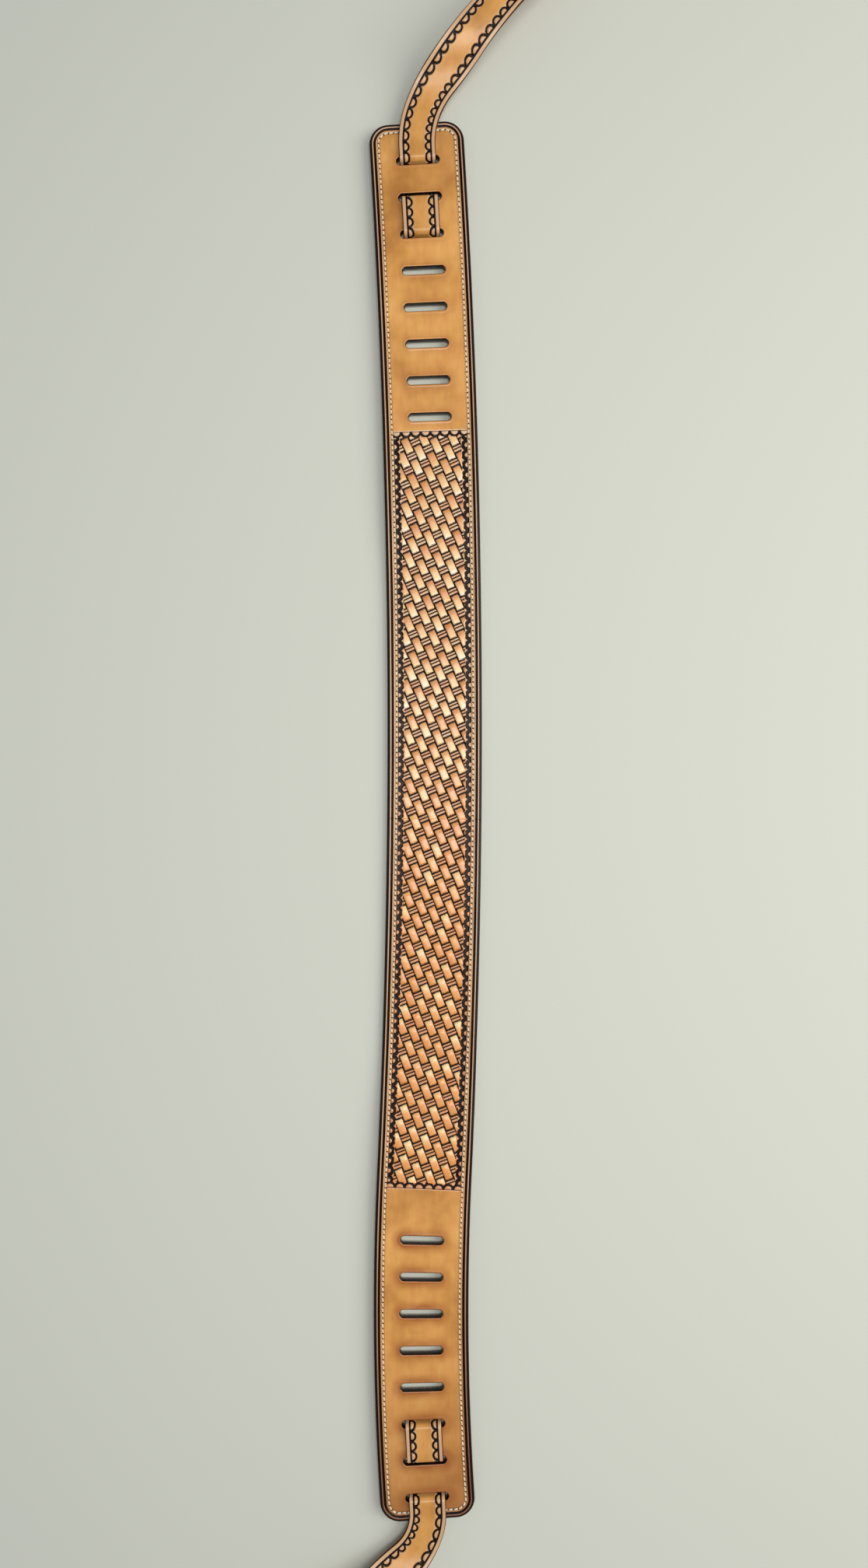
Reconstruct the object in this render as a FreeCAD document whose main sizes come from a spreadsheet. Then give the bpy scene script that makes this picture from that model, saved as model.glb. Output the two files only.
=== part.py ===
"""Laced leather guitar strap: a wide lined panel and two narrow straps woven through its end slots.

Frame: the strap lies flat on its lining, face up. +Y runs along the strap to its upper end, +X is
across it to the right, +Z is up. The origin is on the back of the lining, at mid-length.
"""
import FreeCAD
import Part
import math
import os
import re
import Sketcher

# ---------------------------------------------------------------- driving sizes (mm, degrees)

SIZES = [
    ("panel_width", 63.5),
    ("crown_x", 4.7),              # crown of the panel's long sideways bend
    ("crown_y", 60.0),
    ("long_bend", 6400.0),
    ("short_bend", 1920.0),        # the lower end bends the other way
    ("upper_reach", 407.0),        # crown to the upper end, along the panel
    ("turn_reach", 300.0),         # crown to the change of bend
    ("lower_reach", 230.0),        # change of bend to the lower end
    ("panel_corner", 13.0),
    ("lining_thick", 1.4),
    ("face_thick", 3.0),
    ("strap_width", 24.6),
    ("strap_thick", 2.6),
    ("lay_gap", 0.2),              # between leathers that lie on each other
    ("ramp_start", 130.0),         # where the panel starts to rise over the strap behind it
    ("ramp_end", 240.0),
    ("seam_inset", 6.0),
    ("thread_width", 0.9),
    ("thread_depth", 0.5),
    ("thread_gap", 0.05),
    ("groove_run_out", 2.0),       # the thread grooves are cut past the ends of a piece
    ("slot_length", 28.6),
    ("slot_width", 5.2),
    ("slot_pitch", 24.6),
    ("slot_count", 8),
    ("upper_margin", 25.2),        # end of the panel to its outermost slot
    ("lower_margin", 15.3),
    ("upper_flex", 90.0),          # flex lines, from the origin
    ("lower_flex", 100.0),
    ("flex_gap", 0.15),            # each side of a flex line
    ("notch_lean", 16.0),          # lean of the faces beside a flex line
    ("weave_lean", 12.0),          # the strap's lean inside a slot, from the vertical
    ("weave_bend", 2.3),           # mid-leather radius of the bends at a slot
    ("weave_flat", 1.0),           # flat past the last bend of the laced stretch
    ("piece_gap", 0.15),           # each side of a fold line
    ("tail_length", 15.0),
    ("upper_straight", 8.0),      # outermost slot to the start of the sideways bend
    ("lower_straight", 8.0),
    ("upper_bend", 60.0),
    ("lower_bend", 38.0),
    ("upper_turn", 46.0),
    ("lower_turn", 55.0),
    ("upper_free", 230.0),         # straight stretch past the bend, to the tip
    ("lower_free", 242.0),
    ("upper_lift", 30.0),          # outermost slot to the start of the rise
    ("lower_lift", 26.0),
    ("upper_crest", 90.0),
    ("lower_crest", 75.0),
    ("upper_land", 170.0),         # and to where the strap lies flat again
    ("lower_land", 140.0),
    ("crest_rise", 20.0),
    ("button_radius", 4.0),        # strap button hole
    ("button_inset", 20.0),
    ("slit_length", 12.0),
    ("slit_width", 1.2),
]

doc = FreeCAD.newDocument("guitar_strap")
sheet = doc.addObject("Spreadsheet::Sheet", "Sizes")
for row, (alias, size) in enumerate(SIZES, start=1):
    sheet.set(f"A{row}", alias)
    sheet.set(f"B{row}", str(size))
    sheet.setAlias(f"B{row}", alias)
doc.recompute()

ALIASES = {alias for alias, _ in SIZES}


def on_sheet(expression):
    """The expression with the sheet's name before each size, as setExpression needs it."""
    return re.sub(r"[a-z_]+", lambda word: ("Sizes." if word[0] in ALIASES else "") + word[0], expression)


def value(expression):
    """The expression's present value."""
    return float(reader.evalExpression(on_sheet(expression)))


reader = doc.addObject("App::FeaturePython", "reader")

# ---------------------------------------------------------------- sizes that follow from others

HALF = "(panel_width / 2)"
LIFT = "(strap_thick + lay_gap)"                                # panel over the strap behind it
PANEL = "(lining_thick + face_thick)"
OVER = f"({LIFT} + {PANEL} + lay_gap)"                          # strap over the panel's face
RAMP_MID = "((ramp_start + ramp_end) / 2)"
DEGREES = "180 / pi"

# half the length, along the strap, of one passage through a slot
WEAVE_HALF = (f"(weave_bend * cos(weave_lean)"
              f" + ({OVER} / 2 - weave_bend * (1 - sin(weave_lean))) * tan(weave_lean))")
WEAVE_SINK = "(weave_bend * (1 - sin(weave_lean)))"             # drop inside one bend
WEAVE_STEP = "(weave_bend * cos(weave_lean))"                   # length of one bend
FOLD = f"({WEAVE_HALF} + weave_flat)"                           # outermost slot to the fold line


def swing(rise, run):
    """Radius of each of two equal arcs that make an S of this rise and run."""
    return f"((({run}) ^ 2 + ({rise}) ^ 2) / (4 * ({rise})))"


# ---------------------------------------------------------------- sketches

def arc_between(start, end, radius, turn):
    """An arc from start to end, turning left or right, and which of its ends is its start."""
    across = end - start
    middle = (start + end) / 2
    left = FreeCAD.Vector(-across.y, across.x, 0).normalize()
    depth = math.sqrt(max(0.0, radius ** 2 - (across.Length / 2) ** 2))
    centre = middle + left * (depth if turn == "left" else -depth)
    first, last = (start, end) if turn == "left" else (end, start)
    from_angle = math.atan2(first.y - centre.y, first.x - centre.x)
    to_angle = math.atan2(last.y - centre.y, last.x - centre.x)
    circle = Part.Circle(centre, FreeCAD.Vector(0, 0, 1), radius)
    return Part.ArcOfCircle(circle, from_angle, to_angle), 1 if turn == "left" else 2


def draw_outline(sketch, corners):
    """A closed outline: each corner is (x, y, edge), and edge is None or (turn, radius)."""
    points = [FreeCAD.Vector(value(x), value(y), 0) for x, y, _ in corners]
    ends = []
    for index, (x, y, edge) in enumerate(corners):
        start = points[index]
        end = points[(index + 1) % len(points)]
        if edge is None:
            geometry = sketch.addGeometry(Part.LineSegment(start, end))
            start_end = 1
        else:
            arc, start_end = arc_between(start, end, value(edge[1]), edge[0])
            geometry = sketch.addGeometry(arc)
            radius = sketch.addConstraint(Sketcher.Constraint("Radius", geometry, value(edge[1])))
            sketch.setExpression(f"Constraints[{radius}]", on_sheet(edge[1]))
        for kind, place, expression in (("DistanceX", start.x, x), ("DistanceY", start.y, y)):
            number = sketch.addConstraint(Sketcher.Constraint(kind, geometry, start_end, place))
            sketch.setExpression(f"Constraints[{number}]", on_sheet(expression))
        ends.append((geometry, start_end, 3 - start_end))
    for index, (geometry, _, last) in enumerate(ends):
        following, first, _ = ends[(index + 1) % len(ends)]
        sketch.addConstraint(Sketcher.Constraint("Coincident", geometry, last, following, first))


def add_sketch(body, name, role, offset=None):
    """A sketch on one of the body's own origin planes; offset is (x, y, angle) in the plane."""
    sketch = body.newObject("Sketcher::SketchObject", name)
    plane = next(item for item in body.Origin.OriginFeatures if item.Role == role)
    sketch.AttachmentSupport = [(plane, "")]
    sketch.MapMode = "FlatFace"
    if offset:
        sketch.setExpression("AttachmentOffset.Base.x", on_sheet(offset[0]))
        sketch.setExpression("AttachmentOffset.Base.y", on_sheet(offset[1]))
        sketch.setExpression("AttachmentOffset.Rotation.Angle", on_sheet(offset[2]))
    doc.recompute()
    return sketch


def pad_across(body, corners, width):
    """A side profile, drawn in Y and Z, made solid across X."""
    sketch = add_sketch(body, "side_profile", "YZ_Plane")
    draw_outline(sketch, corners)
    pad = body.newObject("PartDesign::Pad", "across")
    pad.Profile = sketch
    pad.SideType = "Symmetric"
    pad.setExpression("Length", on_sheet(width))
    doc.recompute()


def pocket_through(body, sketch, name):
    """Cut the sketch right through the body, up and down, and check that it removed leather."""
    before = body.Shape.Volume
    pocket = body.newObject("PartDesign::Pocket", name)
    pocket.Profile = sketch
    pocket.SideType = "Symmetric"
    pocket.Type = "ThroughAll"
    doc.recompute()
    if not body.Shape.Volume < before:
        raise RuntimeError(f"{body.Label}: {name} removed nothing")
    return pocket


def trim_to(body, outline, name, wide):
    """Cut away everything outside a plan outline."""
    sketch = add_sketch(body, name, "XY_Plane")
    draw_outline(sketch, outline)
    draw_outline(sketch, [(f"-{wide}", f"-{wide}", None), (wide, f"-{wide}", None),
                          (wide, wide, None), (f"-{wide}", wide, None)])
    return pocket_through(body, sketch, name + "_cut")


# ---------------------------------------------------------------- the panel

FAR = "(upper_reach + turn_reach + lower_reach)"


def long_bend_point(across, along):
    """A point on the long bend: across from the middle line, along from its crown."""
    angle = f"(({along}) / long_bend * {DEGREES})"
    return (f"crown_x - long_bend + (long_bend + {across}) * cos({angle})",
            f"crown_y + (long_bend + {across}) * sin({angle})")


TURN_ANGLE = f"(-turn_reach / long_bend * {DEGREES})"
SHORT_CENTRE = (f"crown_x - long_bend + (long_bend + short_bend) * cos({TURN_ANGLE})",
                f"crown_y + (long_bend + short_bend) * sin({TURN_ANGLE})")


def short_bend_point(across, along):
    """A point on the lower end's bend, along from the change of bend."""
    angle = f"({TURN_ANGLE} + ({along}) / short_bend * {DEGREES})"
    return (f"{SHORT_CENTRE[0]} - (short_bend - ({across})) * cos({angle})",
            f"{SHORT_CENTRE[1]} - (short_bend - ({across})) * sin({angle})")


def panel_outline(inset):
    """The panel's plan outline, moved in by inset, clockwise from the lower left corner."""
    half = f"({HALF} - {inset})"
    corner = f"(panel_corner - {inset})"
    top = f"(upper_reach - {inset})"
    bottom = f"(lower_reach - {inset})"
    return [
        (*short_bend_point(f"-{half}", f"{bottom} - {corner}"), ("right", f"short_bend + {half}")),
        (*short_bend_point(f"-{half}", "0"), ("left", f"long_bend - {half}")),
        (*long_bend_point(f"-{half}", f"{top} - {corner}"), ("right", corner)),
        (*long_bend_point(f"-({half} - {corner})", top), None),
        (*long_bend_point(f"({half} - {corner})", top), ("right", corner)),
        (*long_bend_point(half, f"{top} - {corner}"), ("right", f"long_bend + {half}")),
        (*short_bend_point(half, "0"), ("left", f"short_bend - {half}")),
        (*short_bend_point(half, f"{bottom} - {corner}"), ("right", corner)),
        (*short_bend_point(f"({half} - {corner})", bottom), None),
        (*short_bend_point(f"-({half} - {corner})", bottom), ("right", corner)),
    ]


def ramp_points(height, toward):
    """The panel's rise from the floor level, at a height above its underside, from ramp start to end."""
    side = "-" if toward == "lower" else ""
    rising, levelling = ("right", "left") if toward == "lower" else ("left", "right")
    radius = swing(LIFT, "(ramp_end - ramp_start)")
    return [
        (f"{side}ramp_start", height, (rising, radius)),
        (f"{side}{RAMP_MID}", f"{height} + {LIFT} / 2", (levelling, radius)),
        (f"{side}ramp_end", f"{height} + {LIFT}", None),
    ]


def backwards(corners):
    """The same run of corners drawn from its far end."""
    flipped = {"left": "right", "right": "left"}
    edges = [edge and (flipped[edge[0]], edge[1]) for _, _, edge in corners]
    return [(x, y, edge) for (x, y, _), edge in zip(reversed(corners), reversed([None] + edges[:-1]))]


def flex_point(line, height, outward, run_out):
    """The edge of a piece beside a flex line: outward is '+' beyond the line and '-' before it."""
    away = f"(flex_gap + ({height}) * tan(notch_lean) - {run_out})"
    if line == "lower":
        return (f"-(lower_flex {outward} {away})", height, None)
    return (f"upper_flex {outward} {away}", height, None)


def panel_layer(label, part, low, high, run_out="0"):
    """One layer of one piece of the panel, between two heights above the panel's underside."""
    if part == "middle":
        profile = [flex_point("lower", low, "-", run_out), flex_point("upper", low, "-", run_out),
                   flex_point("upper", high, "-", run_out), flex_point("lower", high, "-", run_out)]
    else:
        beyond = f"-{FAR}" if part == "lower" else FAR
        profile = [flex_point(part, low, "+", run_out), *ramp_points(low, part),
                   (beyond, f"{low} + {LIFT}", None), (beyond, f"{high} + {LIFT}", None),
                   *backwards(ramp_points(high, part)), flex_point(part, high, "+", run_out)]
    body = doc.addObject("PartDesign::Body", label)
    pad_across(body, profile, "panel_width * 2")
    return body


def cut_slots(body, end):
    """The row of slots at one end, each square to the bend, as a pattern about the bend's centre."""
    if end == "upper":
        inner = f"((upper_reach - upper_margin - (slot_count - 1) * slot_pitch) / long_bend * {DEGREES})"
        offset = ("crown_x - long_bend", "crown_y", inner)
        bend = "long_bend"
    else:
        inner = (f"({TURN_ANGLE} + 180"
                 f" + (lower_reach - lower_margin - (slot_count - 1) * slot_pitch) / short_bend * {DEGREES})")
        offset = (*SHORT_CENTRE, inner)
        bend = "short_bend"
    sketch = add_sketch(body, "slot", "XY_Plane", offset)
    straight = "((slot_length - slot_width) / 2)"
    edge = "(slot_width / 2)"
    draw_outline(sketch, [
        (f"{bend} - {straight}", f"-{edge}", None),
        (f"{bend} + {straight}", f"-{edge}", ("left", edge)),
        (f"{bend} + {straight} + {edge}", "0", ("left", edge)),
        (f"{bend} + {straight}", edge, None),
        (f"{bend} - {straight}", edge, ("left", edge)),
        (f"{bend} - {straight} - {edge}", "0", ("left", edge)),
    ])
    pocket = pocket_through(body, sketch, "slot_cut")
    one_slot = body.Shape.Volume
    pattern = body.newObject("PartDesign::PolarPattern", "slot_row")
    pattern.Originals = [pocket]
    pattern.Axis = (sketch, ["N_Axis"])
    pattern.setExpression("Angle", on_sheet(f"(slot_count - 1) * slot_pitch / {bend} * {DEGREES}"))
    pattern.setExpression("Occurrences", on_sheet("slot_count"))
    body.Tip = pattern
    doc.recompute()
    if not body.Shape.Volume < one_slot:
        raise RuntimeError(f"{body.Label}: the slot row removed nothing")


def seam_ring(label, part, low, high, spare="0", run_out="0"):
    """A ring along the seam, in one piece of the panel: thread, or the groove that holds it."""
    body = panel_layer(label, part, low, high, run_out)
    trim_to(body, panel_outline(f"(seam_inset - thread_width / 2 - {spare})"), "seam_outside", FAR)
    sketch = add_sketch(body, "seam_inside", "XY_Plane")
    draw_outline(sketch, panel_outline(f"(seam_inset + thread_width / 2 + {spare})"))
    pocket_through(body, sketch, "seam_inside_cut")
    return body


nodes = []
LEAST_GROOVE = 1.0              # mm3 that a thread groove must remove


def keep(piece, label):
    """List a piece for export under its own label."""
    piece.Label = label
    nodes.append(piece)
    return piece


def panel_piece(part, name):
    """Face, lining and both threads of one piece of the panel."""
    layers = (("face", "lining_thick", PANEL), ("lining", "0", "lining_thick"))
    for leather, low, high in layers:
        blank = panel_layer(f"{leather}_{name}_blank", part, low, high)
        trim_to(blank, panel_outline("0"), "panel_outside", FAR)
        if part != "middle":
            cut_slots(blank, part)
        if leather == "face":
            seam = (f"({PANEL} - thread_depth)", PANEL)
            groove = (f"({PANEL} - thread_depth - thread_gap)", f"({PANEL} + thread_gap)")
        else:
            seam = ("0", "thread_depth")
            groove = ("-thread_gap", "(thread_depth + thread_gap)")
        tool = seam_ring(f"{leather}_groove_{name}", part, *groove, "thread_gap", "groove_run_out")
        leather_cut = doc.addObject("Part::Cut", f"{leather}_{name}")
        leather_cut.Base = blank
        leather_cut.Tool = tool
        doc.recompute()
        if not leather_cut.Shape.Volume < blank.Shape.Volume - LEAST_GROOVE:
            raise RuntimeError(f"{leather}_{name}: the thread groove removed nothing")
        keep(leather_cut, f"{leather}_{name}")
        thread = "needle_thread" if leather == "face" else "bobbin_thread"
        keep(seam_ring(f"{thread}_{name}", part, *seam), f"{thread}_{name}")


panel_piece("upper", "upper_end")
panel_piece("middle", "middle")
panel_piece("lower", "lower_end")

# ---------------------------------------------------------------- the narrow straps


def at_outer_slot(piece, end):
    """Put a piece drawn about the outermost slot, with +Y outward, there, in line with its three slots."""
    second_slot = f"({end}_reach - {end}_margin - slot_pitch)"
    if end == "upper":
        x, y = long_bend_point("0", "(upper_reach - upper_margin)")
        angle = f"({second_slot} / long_bend * {DEGREES})"
    else:
        x, y = short_bend_point("0", "(lower_reach - lower_margin)")
        angle = f"({TURN_ANGLE} + {second_slot} / short_bend * {DEGREES} + 180)"
    piece.setExpression("Placement.Base.x", on_sheet(x))
    piece.setExpression("Placement.Base.y", on_sheet(y))
    piece.setExpression("Placement.Rotation.Angle", on_sheet(angle))


def laced_surface(offset):
    """One surface of the laced stretch, outward end first: offset is from mid-leather, upward."""
    level = "(strap_thick / 2)"
    high, low = f"({OVER} + {level})", level
    points = []
    for slot, (before, after) in enumerate(((high, low), (low, high), (high, low))):
        centre = f"(-{slot} * slot_pitch)"
        down = after == low
        sign = "-" if down else "+"
        if down:
            first, second = ("left", f"(weave_bend + {offset})"), ("right", f"(weave_bend - {offset})")
        else:
            first, second = ("right", f"(weave_bend - {offset})"), ("left", f"(weave_bend + {offset})")
        lean = f"{offset} * cos(weave_lean)"
        drop = f"{offset} * sin(weave_lean)"
        out_x = f"{centre} + {WEAVE_HALF}"
        in_x = f"{centre} - {WEAVE_HALF}"
        points += [
            (out_x, f"{before} + {offset}", first),
            (f"{out_x} - {WEAVE_STEP} {sign} {lean}", f"{before} {sign} {WEAVE_SINK} + {drop}", None),
            (f"{in_x} + {WEAVE_STEP} {sign} {lean}",
             f"{after} {'+' if down else '-'} {WEAVE_SINK} + {drop}", second),
            (in_x, f"{after} + {offset}", None),
        ]
    return points


def strap_outline(end):
    """Plan outline of a narrow strap past its outermost slot: straight, bend, straight, round tip."""
    straight, bend, turn, free = f"{end}_straight", f"{end}_bend", f"{end}_turn", f"{end}_free"
    half = "(strap_width / 2)"
    inner_x = f"{bend} - ({bend} - {half}) * cos({turn})"
    inner_y = f"{straight} + ({bend} - {half}) * sin({turn})"
    outer_x = f"{bend} - ({bend} + {half}) * cos({turn})"
    outer_y = f"{straight} + ({bend} + {half}) * sin({turn})"
    along = f"({free} - {half})"
    ahead_x, ahead_y = f"{along} * sin({turn})", f"{along} * cos({turn})"
    tip_x = f"{bend} - {bend} * cos({turn}) + {free} * sin({turn})"
    tip_y = f"{straight} + {bend} * sin({turn}) + {free} * cos({turn})"
    return [
        (f"-{half}", "0", None),
        (f"-{half}", straight, ("right", f"{bend} + {half}")),
        (outer_x, outer_y, None),
        (f"{outer_x} + {ahead_x}", f"{outer_y} + {ahead_y}", ("right", half)),
        (tip_x, tip_y, ("right", half)),
        (f"{inner_x} + {ahead_x}", f"{inner_y} + {ahead_y}", None),
        (inner_x, inner_y, ("left", f"{bend} - {half}")),
        (half, straight, None),
        (half, "0", None),
    ]


def run_surface(end, height):
    """One surface of the free strap: off the panel, up to its crest and down to lie flat."""
    lift, crest, land = f"{end}_lift", f"{end}_crest", f"{end}_land"
    up = swing("crest_rise", f"({crest} - {lift})")
    fall = f"({OVER} + crest_rise)"
    down = swing(fall, f"({land} - {crest})")
    return [
        (f"{FOLD} + piece_gap", f"{OVER} + {height}", None),
        (lift, f"{OVER} + {height}", ("left", up)),
        (f"({lift} + {crest}) / 2", f"{OVER} + crest_rise / 2 + {height}", ("right", up)),
        (crest, f"{fall} + {height}", ("right", down)),
        (f"({crest} + {land}) / 2", f"{fall} / 2 + {height}", ("left", down)),
        (land, height, None),
    ]


def narrow_strap(end):
    """The four pieces of one narrow strap: laced stretch, tail, free run and keyhole tab."""
    inmost = "(2 * slot_pitch)"
    laced = doc.addObject("PartDesign::Body", f"laced_{end}_strap")
    start = f"{FOLD} - piece_gap"
    finish = f"-{inmost} - {FOLD}"
    top = "(strap_thick / 2)"
    under = laced_surface(f"(-{top})")
    pad_across(laced, [
        (start, f"{OVER} + strap_thick", None), *laced_surface(top), (finish, "strap_thick", None),
        (finish, "0", None), *backwards(under), (start, OVER, None)], "strap_width")
    keep(laced, f"laced_{end}_strap")

    tail = doc.addObject("PartDesign::Body", f"tail_{end}_strap")
    near, far = f"-{inmost} - {FOLD}", f"-{inmost} - {FOLD} - tail_length"
    pad_across(tail, [(near, "0", None), (near, "strap_thick", None), (far, "strap_thick", None),
                      (far, "0", None)], "strap_width")
    keep(tail, f"tail_{end}_strap")

    run = doc.addObject("PartDesign::Body", f"run_{end}_strap")
    pad_across(run, [*run_surface(end, "0"), *backwards(run_surface(end, "strap_thick"))], FAR)
    trim_to(run, strap_outline(end), "strap_outside", FAR)
    keep(run, f"run_{end}_strap")

    tab = doc.addObject("PartDesign::Body", f"tab_{end}_strap")
    land = f"{end}_land"
    pad_across(tab, [(land, "0", None), (land, "strap_thick", None), (FAR, "strap_thick", None),
                     (FAR, "0", None)], FAR)
    trim_to(tab, strap_outline(end), "strap_outside", FAR)
    bend, turn = f"{end}_bend", f"{end}_turn"
    reach = f"({end}_free - button_inset)"
    hole_at = (f"{bend} - {bend} * cos({turn}) + {reach} * sin({turn})",
               f"{end}_straight + {bend} * sin({turn}) + {reach} * cos({turn})", f"-{turn}")
    hole = add_sketch(tab, "button_hole", "XY_Plane", hole_at)
    upward = FreeCAD.Vector(0, 0, 1)
    circle = hole.addGeometry(Part.Circle(FreeCAD.Vector(0, 0, 0), upward, value("button_radius")))
    hole.addConstraint(Sketcher.Constraint("Coincident", circle, 3, -1, 1))
    radius = hole.addConstraint(Sketcher.Constraint("Radius", circle, value("button_radius")))
    hole.setExpression(f"Constraints[{radius}]", on_sheet("button_radius"))
    pocket_through(tab, hole, "button_hole_cut")
    slit = add_sketch(tab, "button_slit", "XY_Plane", hole_at)
    side = "slit_width / 2"
    draw_outline(slit, [(f"-{side}", "0", None), (side, "0", None),
                        (side, "-(button_radius + slit_length)", None),
                        (f"-{side}", "-(button_radius + slit_length)", None)])
    pocket_through(tab, slit, "button_slit_cut")
    keep(tab, f"tab_{end}_strap")
    for piece in (laced, tail, run, tab):
        at_outer_slot(piece, end)


narrow_strap("upper")
narrow_strap("lower")

# ---------------------------------------------------------------- check and write

doc.recompute()
for item in doc.Objects:
    if "Invalid" in item.State or "Error" in item.State:
        raise RuntimeError(f"{item.Label} failed: {item.State}")
for piece in nodes:
    if piece.Shape.isNull() or not piece.Shape.isValid():
        raise RuntimeError(f"{piece.Label} has no valid shape")
os.makedirs("parts", exist_ok=True)
for piece in nodes:
    piece.Shape.exportStep(f"parts/{piece.Label}.step")
    print(piece.Label, round(piece.Shape.Volume, 1), len(piece.Shape.Solids))
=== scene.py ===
import math

import bpy
import numpy as np
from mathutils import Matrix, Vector
from mathutils.geometry import delaunay_2d_cdt


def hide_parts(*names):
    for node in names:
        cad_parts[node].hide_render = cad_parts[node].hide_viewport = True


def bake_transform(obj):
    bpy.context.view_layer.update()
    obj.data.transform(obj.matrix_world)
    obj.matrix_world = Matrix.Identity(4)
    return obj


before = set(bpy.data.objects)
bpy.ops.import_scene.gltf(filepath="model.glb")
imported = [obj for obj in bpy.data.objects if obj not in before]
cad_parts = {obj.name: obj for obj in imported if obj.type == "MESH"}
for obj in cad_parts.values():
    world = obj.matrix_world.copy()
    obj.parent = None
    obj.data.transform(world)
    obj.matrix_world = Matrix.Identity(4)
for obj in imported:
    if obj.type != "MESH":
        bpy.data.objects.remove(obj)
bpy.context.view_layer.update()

MM = 0.001

# ---------------------------------------------------------------- sizes, in millimetres and degrees

PANEL_HALF = 31.75
CROWN = (4.7, 60.0)          # crown of the panel's long sideways bend
LONG_BEND = 6400.0
SHORT_BEND = 1920.0          # the lower end bends the other way
TURN = -300.0                # change of bend, from the crown along the panel
UPPER_END = 407.0            # ends of the panel, from the crown
LOWER_END = -530.0
CORNER = 13.0
LINING = 1.4
PANEL = 4.4
LIFT = 2.8                   # the panel's rise over the strap behind it
RAMP = (130.0, 240.0)

SEAM = 6.0                   # stitch line, from the edge
STITCH_PITCH = 3.45
SLOT_HALF = 14.3
SLOT_RADIUS = 2.6
SLOT_PITCH = 24.6
SLOT_PATCH = (18.2, 5.6)     # the finer mesh round a slot: half its length and half its width
UPPER_SLOT = UPPER_END - 25.2
LOWER_SLOT = LOWER_END + 15.3
SLOTS_EACH = 8
UPPER_SLOTS = [UPPER_SLOT - k * SLOT_PITCH for k in range(SLOTS_EACH)]
LOWER_SLOTS = [LOWER_SLOT + k * SLOT_PITCH for k in range(SLOTS_EACH)]

FIELD = (-308.0, 200.0)      # the basketweave field's ends, from the crown
FIELD_SIDE = 7.2             # from the edge to the field's border stamps
STAMP_PITCH = 6.67
END_STAMP_PITCH = 6.5
WEAVE_LEAN = math.radians(23)
WEAVE_COLUMN = 6.0
WEAVE_PERIOD = 15.6
STRAND = 11.0                # plain stretch of each period; the rest is bars
CUT = -60.0                  # where the two halves of the panel meet
EDGE_BAND = 7.2              # the side bands of the panel whose mesh is finer
BACK_GRID = (8.0, 6.0)       # spacing of the points inside the panel's plain back

STRAP_HALF = 12.3
STRAP = 2.6
GAP = 0.2


# ---------------------------------------------------------------- small helpers


def smooth(x, low, high):
    """0 below low, 1 above high, smooth between."""
    t = np.clip((x - low) / (high - low), 0, 1)
    return t * t * (3 - 2 * t)


def ridge(x, centre, half):
    """1 at the centre, falling smoothly to 0 at half away."""
    return 0.5 + 0.5 * np.cos(np.pi * np.clip((x - centre) / half, -1, 1))


def scatter(a, b, seed=0.0):
    """A repeatable value from 0 to 1 for each pair of whole numbers."""
    return np.modf(np.abs(np.sin(a * 127.1 + b * 311.7 + seed) * 43758.5453))[0]


def linear(red, green, blue):
    """A colour given as screen values from 0 to 255."""
    def one(c):
        c /= 255
        return c / 12.92 if c <= 0.04045 else ((c + 0.055) / 1.055) ** 2.4
    return (one(red), one(green), one(blue), 1.0)


def make_piece(name, points, faces, attributes, material, sharp=None):
    """A mesh object from points in millimetres; attributes are one value a point."""
    mesh = bpy.data.meshes.new(name)
    mesh.from_pydata((np.asarray(points) * MM).tolist(), [], faces)
    for label, values in attributes.items():
        values = np.asarray(values, np.float32)
        kind = "FLOAT_VECTOR" if values.ndim == 2 else "FLOAT"
        field = mesh.attributes.new(label, kind, "POINT")
        field.data.foreach_set("vector" if values.ndim == 2 else "value", values.ravel())
    smooth_ones = np.ones(len(faces), bool) if sharp is None else ~sharp
    mesh.polygons.foreach_set("use_smooth", smooth_ones)
    mesh.materials.append(material)
    mesh.validate()
    piece = bpy.data.objects.new(name, mesh)
    bpy.context.scene.collection.objects.link(piece)
    return piece


# ---------------------------------------------------------------- the panel's shape


def panel_place(across, along, height):
    """Points in the row frame from places on the flat panel."""
    angle = np.maximum(along, TURN) / LONG_BEND
    x = CROWN[0] - LONG_BEND + (LONG_BEND + across) * np.cos(angle)
    y = CROWN[1] + (LONG_BEND + across) * np.sin(angle)
    turn = TURN / LONG_BEND
    centre_x = CROWN[0] - LONG_BEND + (LONG_BEND + SHORT_BEND) * math.cos(turn)
    centre_y = CROWN[1] + (LONG_BEND + SHORT_BEND) * math.sin(turn)
    past = turn + (TURN - np.minimum(along, TURN)) / SHORT_BEND
    x = np.where(along < TURN, centre_x - (SHORT_BEND - across) * np.cos(past), x)
    y = np.where(along < TURN, centre_y - (SHORT_BEND - across) * np.sin(past), y)
    t = np.clip((np.abs(y) - RAMP[0]) / (RAMP[1] - RAMP[0]), 0, 1)
    lift = LIFT * np.where(t < 0.5, 2 * t * t, 1 - 2 * (1 - t) ** 2)
    return np.column_stack([x, y, height + lift])


def inset_of(across, along):
    """Distance inside the panel's outline."""
    side = PANEL_HALF - np.abs(across)
    end = np.minimum(UPPER_END - along, along - LOWER_END)
    round_part = CORNER - np.hypot(np.maximum(CORNER - side, 0), np.maximum(CORNER - end, 0))
    return np.where((side < CORNER) & (end < CORNER), round_part, np.minimum(side, end))


def slot_distance(across, along):
    """Distance outside the nearest slot's edge."""
    nearest = np.full(np.shape(across), 1e3)
    beyond = np.maximum(np.abs(across) - (SLOT_HALF - SLOT_RADIUS), 0)
    for slot in UPPER_SLOTS + LOWER_SLOTS:
        nearest = np.minimum(nearest, np.hypot(beyond, along - slot) - SLOT_RADIUS)
    return nearest


def half_width(along):
    """Half the panel's width at each place, narrowing round the end corners."""
    end = np.clip(np.minimum(UPPER_END - along, along - LOWER_END), 0, CORNER)
    return PANEL_HALF - CORNER + np.sqrt(CORNER ** 2 - (CORNER - end) ** 2)


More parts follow.
